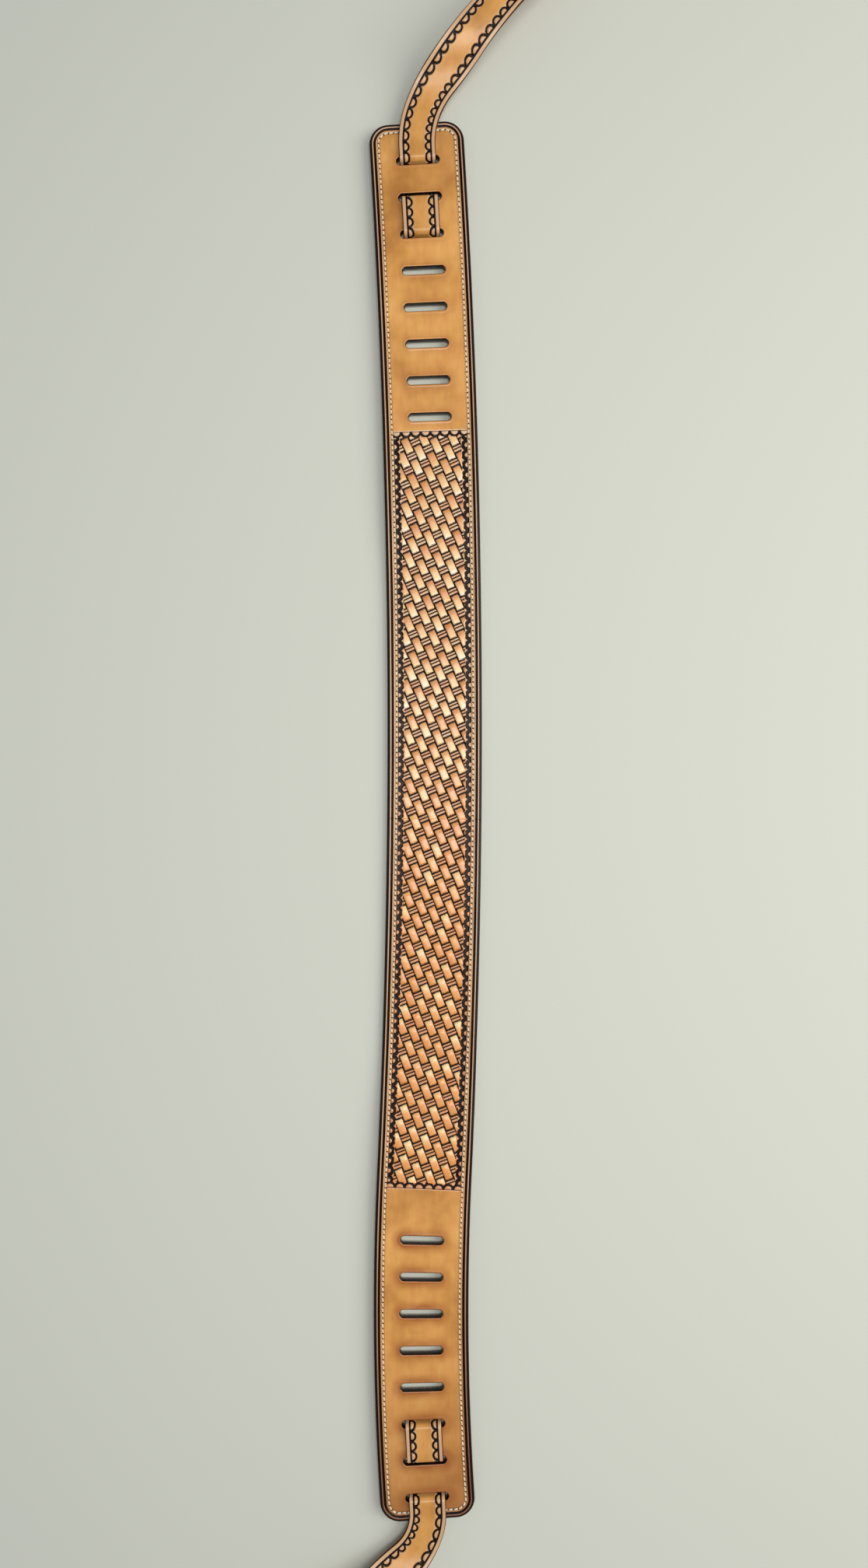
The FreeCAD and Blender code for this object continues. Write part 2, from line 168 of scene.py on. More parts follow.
def seam_places():
    """All round the seam on the flat panel: the stitches' middles, their directions and the holes."""
    half, radius = PANEL_HALF - SEAM, CORNER - SEAM
    top, bottom = UPPER_END - SEAM, LOWER_END + SEAM
    corners = [(half - radius, top - radius, 0.0), (-(half - radius), top - radius, 90.0),
               (-(half - radius), bottom + radius, 180.0), (half - radius, bottom + radius, 270.0)]
    path = []
    for x, y, start in corners:
        for step in np.linspace(0, 90, 31):
            a = math.radians(start + step)
            path.append((x + radius * math.cos(a), y + radius * math.sin(a)))
    path.append(path[0])
    path = np.array(path)
    length = np.concatenate([[0], np.cumsum(np.hypot(*np.diff(path, axis=0).T))])
    count = round(length[-1] / STITCH_PITCH)
    middles = (np.arange(count) + 0.5) * length[-1] / count

    def at(distance):
        distance = np.mod(distance, length[-1])
        return np.column_stack([np.interp(distance, length, path[:, k]) for k in (0, 1)])

    ahead = at(middles + 0.5) - at(middles - 0.5)
    direction = np.arctan2(ahead[:, 1], ahead[:, 0])
    return at(middles), direction, at(middles + 0.5 * length[-1] / count)


STITCHES, STITCH_ANGLES, HOLES = seam_places()


def hole_distance(across, along):
    """Distance from the nearest stitch hole."""
    distance = np.full(len(across), 9.0)
    near = np.flatnonzero(np.abs(inset_of(across, along) - SEAM) < 1.5)
    for part in np.array_split(near, max(1, len(near) // 4000)):
        if len(part):
            d = np.hypot(across[part, None] - HOLES[None, :, 0], along[part, None] - HOLES[None, :, 1])
            distance[part] = d.min(axis=1)
    return distance


# ---------------------------------------------------------------- tooling


def crescent_row(depth, along, pitch, radius, wide):
    """A row of half-moon stamps, flat side at depth 0: a raised moon inside a broad dyed crescent."""
    t = (np.mod(along / pitch, 1) - 0.5) * pitch
    r = np.hypot(depth, t)
    inside = smooth(depth, -0.35, 0.05)
    outside = 1 - smooth(r, radius + wide - 0.25, radius + wide + 0.2)
    trench = smooth(r, radius - 0.15, radius + 0.2) * outside * inside
    moon = np.sqrt(np.clip(1 - (r / radius) ** 2, 0, 1)) * inside
    line = ridge(depth, -0.25, 0.45)
    return 0.25 * moon - 0.75 * trench - 0.3 * line, np.maximum(trench, 0.8 * line)


def basketweave(across, along):
    """The woven stamp pattern: relief, dye and a tone for each strand, whose tone holds a painted highlight
    at one end.
    """
    down = np.array([math.sin(WEAVE_LEAN), -math.cos(WEAVE_LEAN)])
    beside = np.array([math.cos(WEAVE_LEAN), math.sin(WEAVE_LEAN)])
    q = (across * beside[0] + along * beside[1]) / WEAVE_COLUMN
    column = np.round(q)
    x = (q - column) * WEAVE_COLUMN
    p = (across * down[0] + along * down[1]) / WEAVE_PERIOD + 0.5 * column
    row = np.floor(p)
    y = (p - row) * WEAVE_PERIOD
    wobble = 0.18 * (scatter(column, row) - 0.5)
    x = x + wobble
    # plain strands: rounded across, with fine teeth where they dip under
    end = np.minimum(y, STRAND - y)
    crown = np.sqrt(np.clip(1 - (x / 3.1) ** 2, 0, 1))
    teeth = smooth(np.cos(2 * np.pi * x), -0.5, 0.5)
    dip = np.maximum(1 - smooth(y, 0.0, 5.0), 1 - smooth(STRAND - y, 0.0, 1.8))
    biting = (1 - smooth(end, 0.7, 1.0)) * (1 - teeth)
    strand = -0.5 + 0.6 * crown - 0.75 * dip ** 2 - 0.3 * biting
    strand_dye = np.maximum(1 - smooth(end, 0.15, 0.4), 0.85 * biting)
    # crossing bars: a narrow and a broad ridge between dyed lines
    v = y - STRAND
    profile = np.maximum(ridge(v, 1.15, 1.0), ridge(v, 3.2, 1.35))
    bars = -1.0 + 0.75 * np.sqrt(profile)
    bars_dye = 1 - smooth(profile, 0.3, 0.55)
    plain = y < STRAND
    relief = np.where(plain, strand, bars)
    dye = np.where(plain, strand_dye, bars_dye)
    # painted shade: each strand's sides are outlined in black dye made wide enough to stand for the shadow
    # beside it
    side = np.where(plain, smooth(np.abs(x), 2.32, 2.62), smooth(np.abs(x), 2.88, 3.0))
    relief = relief - 0.45 * side
    dye = np.maximum(dye, side)
    tone = scatter(column, row, 4.0)
    # painted highlight: each strand's pale end is the lower one above the middle and the upper one below it,
    # where the glare falls
    highlight_at_low_end = smooth(along, -150.0, 30.0)
    painted_highlight = highlight_at_low_end * y / STRAND + (1 - highlight_at_low_end) * (1 - y / STRAND)
    return relief, dye, np.where(plain, 0.45 + 0.2 * tone + 0.35 * painted_highlight, 0.25 + 0.15 * tone)


def face_relief(across, along):
    """Height over the face's flat level, and the values that its material reads."""
    d = inset_of(across, along)
    # dyed edge with its black band widened by painted shadow, rounded bead, dyed groove, stitch channel
    relief = -1.1 * (1 - np.sqrt(1 - np.clip(1 - d / 1.3, 0, 1) ** 2))
    relief += 0.15 * ridge(d, 2.2, 0.8) - 0.75 * ridge(d, 3.5, 0.9) - 0.3 * ridge(d, SEAM, 0.95)
    relief += 0.12 * ridge(d, 4.4, 0.7)
    dye = np.maximum(1 - smooth(d, 1.6, 1.85), smooth(d, 2.6, 2.8) * (1 - smooth(d, 4.1, 4.35)))
    dye = np.maximum(dye, 0.4 * ridge(d, 7.1, 0.45))
    bead = smooth(d, 1.6, 1.9) * (1 - smooth(d, 2.5, 2.8))
    bead += 0.45 * smooth(d, 4.0, 4.3) * (1 - smooth(d, 4.9, 5.6))
    # the field: border stamps on its four sides, basketweave inside them
    inside_end = np.minimum(FIELD[1] - along, along - FIELD[0])
    side_depth = d - FIELD_SIDE
    in_field = smooth(inside_end, -0.9, -0.5) * smooth(side_depth, -0.5, -0.2)
    side_row, side_dye = crescent_row(side_depth - 0.35, along, STAMP_PITCH, 1.5, 2.3)
    end_row, end_dye = crescent_row(inside_end - 0.3, across, END_STAMP_PITCH, 2.35, 1.5)
    weave, weave_dye_and_shade, tone = basketweave(across, along)
    row_edge = side_depth - 0.35 - 3.4 - 0.25 * np.cos(2 * np.pi * along / STAMP_PITCH)
    on_side = (1 - smooth(row_edge, 0.0, 0.25)) * smooth(inside_end, 0.6, 1.2)
    on_end = 1 - smooth(inside_end, 3.7, 4.0)
    field = weave + (side_row - weave) * on_side
    field_dye_and_shade = weave_dye_and_shade + (side_dye - weave_dye_and_shade) * on_side
    field = field + (end_row - field) * on_end
    field_dye_and_shade = field_dye_and_shade + (end_dye - field_dye_and_shade) * on_end
    tone = np.where((on_side < 0.5) & (on_end < 0.5), tone, 0.3)
    relief += field * in_field
    dye = np.maximum(dye, field_dye_and_shade * in_field)
    # slots with a turned-up lip, and the stitch holes
    slot = slot_distance(across, along)
    relief += 0.22 * ridge(slot, 1.0, 0.9) - 0.5 * (1 - smooth(slot, 0.0, 0.6)) ** 2
    dye = np.maximum(dye, 1 - smooth(slot, 0.1, 0.5))
    # stitch holes: sunk, and darkened with dye and painted shade
    hole = hole_distance(across, along)
    relief -= 0.4 * (1 - smooth(hole, 0.25, 0.8))
    dye = np.maximum(dye, 1 - smooth(hole, 0.4, 0.85))
    halo = np.clip(1 - slot / 7.5, 0, 1) ** 1.3 * np.where(along < 0, 1.0, 0.4)
    return relief, dye, halo, np.where(in_field > 0.5, tone, 0.0), bead


def lining_relief(across, along):
    """Height over the lining's back: its edge and the stitch channel."""
    d = inset_of(across, along)
    relief = -0.35 * (1 - smooth(d, 0.0, 0.7)) - 0.5 * ridge(d, SEAM, 0.8)
    slot = slot_distance(across, along)
    relief -= 0.3 * (1 - smooth(slot, 0.0, 0.6))
    dye = np.maximum(0.8 * (1 - smooth(d, 0.3, 1.2)), 0.7 * (1 - smooth(slot, 0.1, 0.9)))
    return relief, dye, np.zeros_like(d), np.zeros_like(d), np.zeros_like(d)


# ---------------------------------------------------------------- the panel's leathers


def spaced(stops):
    """Places along a line: stops are (place, spacing up to the next stop)."""
    places = []
    for (start, spacing), (end, _) in zip(stops, stops[1:]):
        places.append(np.linspace(start, end, max(1, round(abs(end - start) / spacing)), endpoint=False))
    return np.concatenate(places + [[stops[-1][0]]])


def corner_places():
    """Places from an end of the panel, close together where its outline turns fast."""
    angles = np.radians(np.arange(0, 90.1, 2.25))
    return CORNER * (1 - np.cos(angles))


def outline_of(index):
    """The numbers of the points round the outside of a grid, in order."""
    return np.concatenate([index[0, :-1], index[:-1, -1], index[-1, :0:-1], index[:0:-1, 0]])


def kept_quads(index, keep):
    """The faces of a grid, without those that keep leaves out."""
    r, c = np.nonzero(keep)
    return np.column_stack([index[r, c], index[r, c + 1], index[r + 1, c + 1], index[r + 1, c]])


def slot_edge(points, slot):
    """The nearest point on a slot's edge to each place round it."""
    straight = SLOT_HALF - SLOT_RADIUS
    axis = np.column_stack([np.clip(points[:, 0], -straight, straight), np.full(len(points), slot)])
    away = points - axis
    away /= np.linalg.norm(away, axis=1)[:, None]
    return axis + away * SLOT_RADIUS


def panel_leather(name, part, level, back_level, relief_of, fine, plain, material):
    """One leather of one half of the panel: a tooled side at level and a plain back, closed."""
    ends = corner_places()
    if part == "upper":
        rows = np.concatenate([spaced([(CUT, fine), (FIELD[1] + 2, plain), (UPPER_END - CORNER, 1)])[:-1],
                               UPPER_END - ends[::-1]])
        slots = UPPER_SLOTS
    else:
        rows = np.concatenate([LOWER_END + ends,
                               spaced([(LOWER_END + CORNER, plain), (FIELD[0] - 2, fine), (CUT, 1)])[1:]])
        slots = LOWER_SLOTS
    edge = 0.65 * fine
    columns = spaced([(-PANEL_HALF, edge), (-PANEL_HALF + EDGE_BAND, fine),
                      (PANEL_HALF - EDGE_BAND, edge), (PANEL_HALF, 1)])
    across = columns[None, :] / PANEL_HALF * half_width(rows)[:, None]
    along = np.broadcast_to(rows[:, None], across.shape)
    index = np.arange(across.size).reshape(across.shape)
    keep = np.ones((len(rows) - 1, len(columns) - 1), bool)
    flat = np.column_stack([across.ravel(), along.ravel()])
    quads, slot_rings = [], []
    for slot in slots:
        r0, r1 = np.searchsorted(rows, [slot - SLOT_PATCH[1], slot + SLOT_PATCH[1]])
        c0, c1 = np.searchsorted(columns, [-SLOT_PATCH[0], SLOT_PATCH[0]])
        keep[r0:r1, c0:c1] = False
        ring = np.concatenate([index[r0, c0:c1], index[r0:r1, c1], index[r1, c1:c0:-1], index[r1:r0:-1, c0]])
        outer = flat[ring]
        target = slot_edge(outer, slot)
        for share in (0.22, 0.42, 0.6, 0.74, 0.85, 0.93, 1.0):
            following = np.arange(len(ring)) + len(flat)
            flat = np.vstack([flat, outer * (1 - share) + target * share])
            quads.append(np.column_stack([ring, np.roll(ring, -1), np.roll(following, -1), following]))
            ring = following
        slot_rings.append(ring)
    quads = np.vstack([kept_quads(index, keep)] + quads)
    outline = outline_of(index)
    relief, dye, halo, tone, bead = relief_of(flat[:, 0], flat[:, 1])
    up = 1 if level > back_level else -1
    heights = level + up * relief
    # walls: round the outline and in each slot, then the plain back
    back_flat, back_rings = [], []
    count = len(flat)
    walls = []
    for ring in [outline] + slot_rings:
        middle = np.arange(len(ring)) + count
        last = middle + len(ring)
        count += 2 * len(ring)
        back_flat += [flat[ring], flat[ring]]
        low = np.full(len(ring), back_level)
        heights = np.concatenate([heights, 0.35 * heights[ring] + 0.65 * back_level, low])
        back_rings.append(last)
        for upper, lower in ((ring, middle), (middle, last)):
            after_upper, after_lower = np.roll(upper, -1), np.roll(lower, -1)
            wall = [after_upper, upper, lower, after_lower]
            if ring is not outline:
                wall = [upper, after_upper, after_lower, lower]
            walls.append(np.column_stack(wall))
    flat = np.vstack([flat] + back_flat)
    inner_u, inner_s = np.meshgrid(np.arange(-24, 25, BACK_GRID[0]),
                                   np.arange(rows[0] + 6, rows[-1] - 5, BACK_GRID[1]))
    inner = np.column_stack([inner_u.ravel(), inner_s.ravel()])
    inner = inner[(slot_distance(inner[:, 0], inner[:, 1]) > 1.5) & (inset_of(inner[:, 0], inner[:, 1]) > 2)]
    border = np.concatenate(back_rings)
    places = np.vstack([flat[border], inner])
    edges, start = [], 0
    for ring in back_rings:
        ids = np.arange(len(ring)) + start
        edges += list(zip(ids.tolist(), np.roll(ids, -1).tolist()))
        start += len(ring)
    joined = delaunay_2d_cdt([Vector(p) for p in places.tolist()], edges, [], 0, 1e-7, True)
    new_points, _, triangles, origins = joined[:4]
    names = np.concatenate([border, np.arange(len(inner)) + len(flat)])
    lookup = np.array([names[o[0]] for o in origins])
    flat = np.vstack([flat, inner])
    heights = np.concatenate([heights, np.full(len(inner), back_level)])
    triangles = np.array(triangles)
    middles = np.array([tuple(p) for p in new_points])[triangles].mean(axis=1)
    in_leather = slot_distance(middles[:, 0], middles[:, 1]) > 0
    in_leather &= np.abs(middles[:, 0]) < half_width(middles[:, 1])
    triangles = lookup[triangles[in_leather]][:, ::-1]
    extra = len(flat) - len(dye)
    dye = np.concatenate([dye, np.full(extra, 0.9)])
    dye[-len(inner):] = 0
    halo = np.concatenate([halo, np.zeros(extra)])
    tone = np.concatenate([tone, np.zeros(extra)])
    bead = np.concatenate([bead, np.zeros(extra)])
    points = panel_place(flat[:, 0], flat[:, 1], heights)
    faces = [quads, np.vstack(walls), triangles]
    if up < 0:
        faces = [block[:, ::-1] for block in faces]
    sharp = np.repeat([False, True], [len(quads), len(faces[1]) + len(triangles)])
    used = np.unique(np.concatenate([block.ravel() for block in faces]))
    renumber = np.full(len(flat), -1)
    renumber[used] = np.arange(len(used))
    faces = [face for block in faces for face in renumber[block].tolist()]
    attributes = {"dye": dye[used], "halo": halo[used], "tone": tone[used], "bead": bead[used],
                  "flat": np.column_stack([flat[used], heights[used]]) * MM}
    return make_piece(name, points[used], faces, attributes, material, sharp)


# ---------------------------------------------------------------- stitches


def stitch_run(name, part, height_mid, height_end, side, thick, material):
    """The separate stitches of one half of the seam, as one mesh of short twisted lengths of thread."""
    chosen = STITCHES[:, 1] > CUT if part == "upper" else STITCHES[:, 1] <= CUT
    around, steps = 10, 11
    t = np.linspace(-1, 1, steps)
    phi = np.arange(around) * 2 * np.pi / around
    half = 0.45 * STITCH_PITCH
    points, faces, flat = [], [], []
    for order, number in enumerate(np.flatnonzero(chosen)):
        middle = STITCHES[number]
        angle = STITCH_ANGLES[number] + side * (0.16 + 0.08 * (scatter(number, 3.0) - 0.5))
        ahead = np.array([math.cos(angle), math.sin(angle)])
        beside = np.array([-ahead[1], ahead[0]])
        radius = thick / 2 * (1 + 0.12 * (scatter(number, 1.0) - 0.5))
        taper = np.sqrt(np.clip(1 - np.abs(t) ** 3.2, 0.02, 1))
        height = height_end + (height_mid - height_end) * (1 - np.abs(t) ** 2.4)
        twist = 1 + 0.13 * np.cos(2 * phi[None, :] + 7.5 * t[:, None])
        r = radius * taper[:, None] * twist
        sideways = r * np.cos(phi)
        place = middle + half * t[:, None, None] * ahead + sideways[:, :, None] * beside
        level = height[:, None] + r * np.sin(phi)[None, :] * 0.9
        across, along = place[..., 0].ravel(), place[..., 1].ravel()
        points.append(panel_place(across, along, level.ravel()))
        flat.append(np.column_stack([across, along, level.ravel()]))
        ids = np.arange(steps * around).reshape(steps, around) + order * steps * around
        following = np.roll(ids, -1, axis=1)
        skin = np.stack([ids[:-1], following[:-1], following[1:], ids[1:]], axis=-1)
        faces += skin.reshape(-1, 4).tolist()
        faces += [ids[0, ::-1].tolist(), ids[-1].tolist()]
    return make_piece(name, np.vstack(points), faces, {"flat": np.vstack(flat) * MM}, material)


# ---------------------------------------------------------------- the narrow straps

OVER = LIFT + PANEL + GAP                 # underside of a strap that lies on the panel's face
LEAN = math.radians(12)                   # the strap's lean inside a slot
BEND = 2.3                                # mid-leather radius at a slot
BACK_LEVEL = STRAP / 2
WEAVE_HALF = BEND * math.cos(LEAN) + (OVER / 2 - BEND * (1 - math.sin(LEAN))) * math.tan(LEAN)
FOLD = WEAVE_HALF + 1.0
TAIL = 15.0

FREE = {
    "upper": dict(straight=8.0, bend=60.0, turn=46.0, free=230.0, lift=30.0, crest=90.0, land=170.0),
    "lower": dict(straight=8.0, bend=38.0, turn=55.0, free=242.0, lift=26.0, crest=75.0, land=140.0),
}
RISE = 20.0
BUTTON_RADIUS, BUTTON_INSET = 4.0, 20.0
SLIT = (1.2, 12.0)           # its width and length
KEYHOLE_PATCH = (6.6, 2.5)   # the finer mesh round a keyhole: its half width, and its reach past each end
STRAP_BAND = 8.2             # the side bands of a strap whose mesh is finer


class SidePath:
    """A strap's middle line seen from the side, built from straight runs and arcs."""

    def __init__(self, y, z):
        self.points = [(y, z, 0.0)]

    def line(self, length, step=0.7):
        y, z, a = self.points[-1]
        count = max(1, round(length / step))
        for k in range(1, count + 1):
            s = length * k / count
            self.points.append((y + s * math.cos(a), z + s * math.sin(a), a))

    def arc(self, degrees, radius, step=0.5):
        y, z, a = self.points[-1]
        turn = math.radians(degrees)
        side = 1 if turn > 0 else -1
        centre = (y - side * radius * math.sin(a), z + side * radius * math.cos(a))
        count = max(2, round(abs(turn) * radius / step))
        for k in range(1, count + 1):
            b = a + turn * k / count
            self.points.append((centre[0] + side * radius * math.sin(b),
                                centre[1] - side * radius * math.cos(b), b))

    def rise(self, height, run):
        """An S of two equal arcs, up or down by height over run."""
        radius = (run ** 2 + height ** 2) / (4 * abs(height))
        degrees = math.degrees(math.asin(run / 2 / radius)) * (1 if height > 0 else -1)
        self.arc(degrees, radius, 0.7)
        self.arc(-degrees, radius, 0.7)


def slot_passage(path, up):
    """Through one slot, up or down: a tight bend, a short leaning run and a bend back."""
    turn = 90 - math.degrees(LEAN)
    sign = 1 if up else -1
    path.arc(sign * turn, BEND, 0.3)
    path.line((OVER - 2 * BEND * (1 - math.sin(LEAN))) / math.cos(LEAN), 0.5)
    path.arc(-sign * turn, BEND, 0.3)


def strap_path(sizes):
    """The whole side path of one strap, from the end of its tail outward."""
    level_run = SLOT_PITCH - 2 * WEAVE_HALF
    path = SidePath(-2 * SLOT_PITCH - FOLD - TAIL, BACK_LEVEL)
    path.line(TAIL + FOLD - WEAVE_HALF)
    slot_passage(path, True)
    path.line(level_run)
    slot_passage(path, False)
    path.line(level_run)
    slot_passage(path, True)
    path.line(sizes["lift"] - WEAVE_HALF)
    path.rise(RISE, sizes["crest"] - sizes["lift"])
    path.rise(-(OVER + RISE), sizes["land"] - sizes["crest"])
    path.line(200.0)
    return np.array(path.points)


def strap_relief(across, along, half):
    """Stamping of a narrow strap: plain band, line, a row of half moons, plain middle."""
    d = half - np.abs(across)
    relief = -0.6 * (1 - np.sqrt(1 - np.clip(1 - d / 0.8, 0, 1) ** 2))
    line = ridge(d, 3.05, 0.75)
    row, row_dye = crescent_row(d - 3.75, along, STAMP_PITCH, 2.2, 1.35)
    zone = smooth(d, 3.3, 3.5) * (1 - smooth(d, 7.6, 7.9))
    relief = relief - 0.35 * line + 0.8 * row * zone
    dye = np.maximum(1 - smooth(d, 0.25, 0.6), np.clip(1.6 * line, 0, 1))
    bead = smooth(d, 0.4, 0.8) * (1 - smooth(d, 2.4, 2.8))
    bead += 0.8 * smooth(d, 3.6, 4.0) * (1 - smooth(d, 6.6, 7.6))
    return relief, np.maximum(dye, row_dye * zone), bead


def keyhole(count):
    """The strap button's hole and its slit, as points evenly spaced round it from its outer end."""
    half_slit = SLIT[0] / 2
    open_angle = math.asin(half_slit / BUTTON_RADIUS)
    angles = np.linspace(0, math.pi - open_angle, 60)
    right = [(BUTTON_RADIUS * math.sin(a), BUTTON_RADIUS * math.cos(a)) for a in angles]
    right += [(half_slit, -BUTTON_RADIUS - SLIT[1]), (0.0, -BUTTON_RADIUS - SLIT[1])]
    left = [(-x, y) for x, y in right[-2::-1]]
    path = np.array(right + left)
    length = np.concatenate([[0], np.cumsum(np.hypot(*np.diff(path, axis=0).T))])
    at = np.arange(count) * length[-1] / count
    return np.column_stack([np.interp(at, length, path[:, k]) for k in (0, 1)])


def narrow_strap(name, end, material):
    """One narrow strap, laced through three slots and running out to its keyhole end."""
    sizes = FREE[end]
    side = strap_path(sizes)
    straight, bend, turn, free = (sizes[k] for k in ("straight", "bend", "turn", "free"))
    turn = math.radians(turn)
    laced = side[side[:, 0] < straight - 0.3]
    laced_length = np.concatenate([[0], np.cumsum(np.hypot(*np.diff(laced[:, :2], axis=0).T))])
    curved = bend * turn
    total = curved + free
    tip = STRAP_HALF * (1 - np.cos(np.radians(np.arange(0, 90.1, 3))))
    plan = np.concatenate([np.arange(0, total - STRAP_HALF, 0.7), (total - tip)[::-1]])
    columns = spaced([(-STRAP_HALF, 0.28), (-STRAP_HALF + STRAP_BAND, 0.8),
                      (STRAP_HALF - STRAP_BAND, 0.28), (STRAP_HALF, 1)])
    rows = len(laced) + len(plan)
    width = np.full(rows, STRAP_HALF)
    beyond = np.clip(plan - (total - STRAP_HALF), 0, STRAP_HALF)
    width[len(laced):] = np.sqrt(np.maximum(STRAP_HALF ** 2 - beyond ** 2, 0.0))
    width[-1] = 0.35
    width[:4] = STRAP_HALF - np.array([1.6, 0.7, 0.25, 0.05])
    start_length = laced_length[-1] + (straight - laced[-1, 0])
    along_row = np.concatenate([laced_length, start_length + plan])
    across = columns[None, :] / STRAP_HALF * width[:, None]
    along = np.broadcast_to(along_row[:, None], across.shape)
    index = np.arange(across.size).reshape(across.shape)
    keep = np.ones((rows - 1, len(columns) - 1), bool)
    # keyhole
    hole_at = start_length + total - BUTTON_INSET
    inner_end = hole_at - BUTTON_RADIUS - SLIT[1] - KEYHOLE_PATCH[1]
    outer_end = hole_at + BUTTON_RADIUS + KEYHOLE_PATCH[1]
    r0, r1 = np.searchsorted(along_row, [inner_end, outer_end])
    c0, c1 = np.searchsorted(columns, [-KEYHOLE_PATCH[0], KEYHOLE_PATCH[0]])
    keep[r0:r1, c0:c1] = False
    middle = (c0 + c1) // 2
    ring = np.concatenate([index[r1, middle:c1], index[r1:r0:-1, c1], index[r0, c1:c0:-1], index[r0:r1, c0],
                           index[r1, c0:middle]])
    flat = np.column_stack([across.ravel(), along.ravel()])
    outer = flat[ring]
    target = keyhole(len(ring)) + [0, hole_at]
    quads = []
    for share in (0.3, 0.55, 0.75, 0.9, 1.0):
        following = np.arange(len(ring)) + len(flat)
        flat = np.vstack([flat, outer * (1 - share) + target * share])
        quads.append(np.column_stack([np.roll(ring, -1), ring, following, np.roll(following, -1)]))
        ring = following
    quads = np.vstack(quads + [kept_quads(index, keep)])
    outline = outline_of(index)
    local_half = np.interp(flat[:, 1], along_row, width)
    relief, dye, bead = strap_relief(flat[:, 0], flat[:, 1], np.maximum(local_half, 0.4))
    from_tip = start_length + total - flat[:, 1]
    fade = smooth(from_tip, 24, 40)
    from_edge = local_half - np.abs(flat[:, 0])
    relief = relief * fade - (1 - fade) * 0.4 * (1 - smooth(from_edge, 0, 0.7))
    dye = dye * np.maximum(fade, 1 - smooth(from_edge, 0.1, 0.5))
    beyond_hole = np.abs(flat[:, 1] - hole_at + BUTTON_RADIUS) - BUTTON_RADIUS
    hole_gap = np.hypot(flat[:, 0], np.maximum(beyond_hole, 0)) - BUTTON_RADIUS
    dye = np.maximum(dye, 0.8 * (1 - smooth(np.abs(hole_gap), 0.2, 1.1)) * (from_tip < 40))
    count = len(flat)
    offset = np.concatenate([STRAP / 2 + relief, np.full(count, -STRAP / 2)])
    flat = np.vstack([flat, flat])
    under = quads[:, ::-1] + count
    walls = []
    for loop in (outline, ring):
        following = np.roll(loop, -1)
        walls.append(np.column_stack([following, loop, loop + count, following + count]))
    dye = np.concatenate([dye, np.zeros(count)])
    for loop in (outline, ring):
        dye[loop] = 0.9
        dye[loop + count] = 0.9
    # the laced stretch straight, then the bend and the free stretch in plan
    w, length = flat[:, 0], flat[:, 1]
    plan_at = length - start_length
    path_y = np.interp(length, laced_length, laced[:, 0])
    path_z = np.interp(length, laced_length, laced[:, 1])
    path_a = np.interp(length, laced_length, laced[:, 2])
    x = w.copy()
    y = path_y - offset * np.sin(path_a)
    z = path_z + offset * np.cos(path_a)
    free_part = plan_at > -1e-6
    heading = np.clip(plan_at / bend, 0, turn)
    past = np.maximum(plan_at - curved, 0)
    centre_x = bend * (1 - np.cos(heading)) + past * math.sin(turn)
    centre_y = straight + bend * np.sin(heading) + past * math.cos(turn)
    plan_x = centre_x + w * np.cos(heading)
    plan_y = centre_y - w * np.sin(heading)
    outer_side = side[side[:, 0] > -0.5 + WEAVE_HALF]
    free_z = np.interp(plan_y, outer_side[:, 0], outer_side[:, 1])
    free_a = np.interp(plan_y, outer_side[:, 0], outer_side[:, 2])
    x = np.where(free_part, plan_x, x)
    y = np.where(free_part, plan_y - offset * np.sin(free_a), y)
    z = np.where(free_part, free_z + offset * np.cos(free_a), z)
    # from the outermost slot's own frame to the row frame
    first = UPPER_SLOT if end == "upper" else LOWER_SLOT
    inward = -SLOT_PITCH if end == "upper" else SLOT_PITCH
    origin = panel_place(np.zeros(1), np.array([first]), np.zeros(1))[0]
    second = first + inward
    facing = panel_place(np.zeros(2), np.array([second - inward / 20, second + inward / 20]), np.zeros(2))
    away = facing[0, :2] - facing[1, :2]
    away /= np.hypot(*away)
    right = np.array([away[1], -away[0]])
    points = np.column_stack([origin[0] + x * right[0] + y * away[0],
                              origin[1] + x * right[1] + y * away[1], z])
    faces = np.vstack([quads, under] + walls)
    sharp = np.repeat([False, True], [2 * len(quads), len(faces) - 2 * len(quads)])
    used = np.unique(faces)
    renumber = np.full(len(flat), -1)
    renumber[used] = np.arange(len(used))
    back = np.concatenate([np.zeros(count), np.ones(count)])
    bead = np.concatenate([bead, np.zeros(count)])
    attributes = {"dye": dye[used], "back": back[used], "bead": bead[used],
                  "flat": np.column_stack([flat[used], offset[used]]) * MM}
    return make_piece(name, points[used], renumber[faces].tolist(), attributes, material, sharp)


# ---------------------------------------------------------------- materials


def new_material(name, settings):
    """A material whose shader has these inputs; those that are left out keep their defaults."""
    material = bpy.data.materials.new(name)
    material.use_nodes = True
    shader = material.node_tree.nodes["Principled BSDF"]
    for label, value in settings.items():
        shader.inputs[label].default_value = value
    return material, material.node_tree, shader


def attribute(tree, name, output="Fac"):
    node = tree.nodes.new("ShaderNodeAttribute")
    node.attribute_name = name
    return node.outputs[output]


def noise(tree, scale, detail=4.0, roughness=0.55, stretch=None):
    """Noise over the leather's own flat places; scale is in features a metre."""
    node = tree.nodes.new("ShaderNodeTexNoise")
    node.inputs["Scale"].default_value = scale
    node.inputs["Detail"].default_value = detail
    node.inputs["Roughness"].default_value = roughness
    place = attribute(tree, "flat", "Vector")
    if stretch:
        mapping = tree.nodes.new("ShaderNodeMapping")
        mapping.inputs["Scale"].default_value = stretch
        tree.links.new(place, mapping.inputs["Vector"])
        place = mapping.outputs["Vector"]
    tree.links.new(place, node.inputs["Vector"])
    return node.outputs["Fac"]


def ramp(tree, value, stops):
    node = tree.nodes.new("ShaderNodeValToRGB")
    while len(node.color_ramp.elements) < len(stops):
        node.color_ramp.elements.new(0.5)
    for element, (place, colour) in zip(node.color_ramp.elements, stops):
        element.position = place
        element.color = colour
    tree.links.new(value, node.inputs["Fac"])
    return node.outputs["Color"]


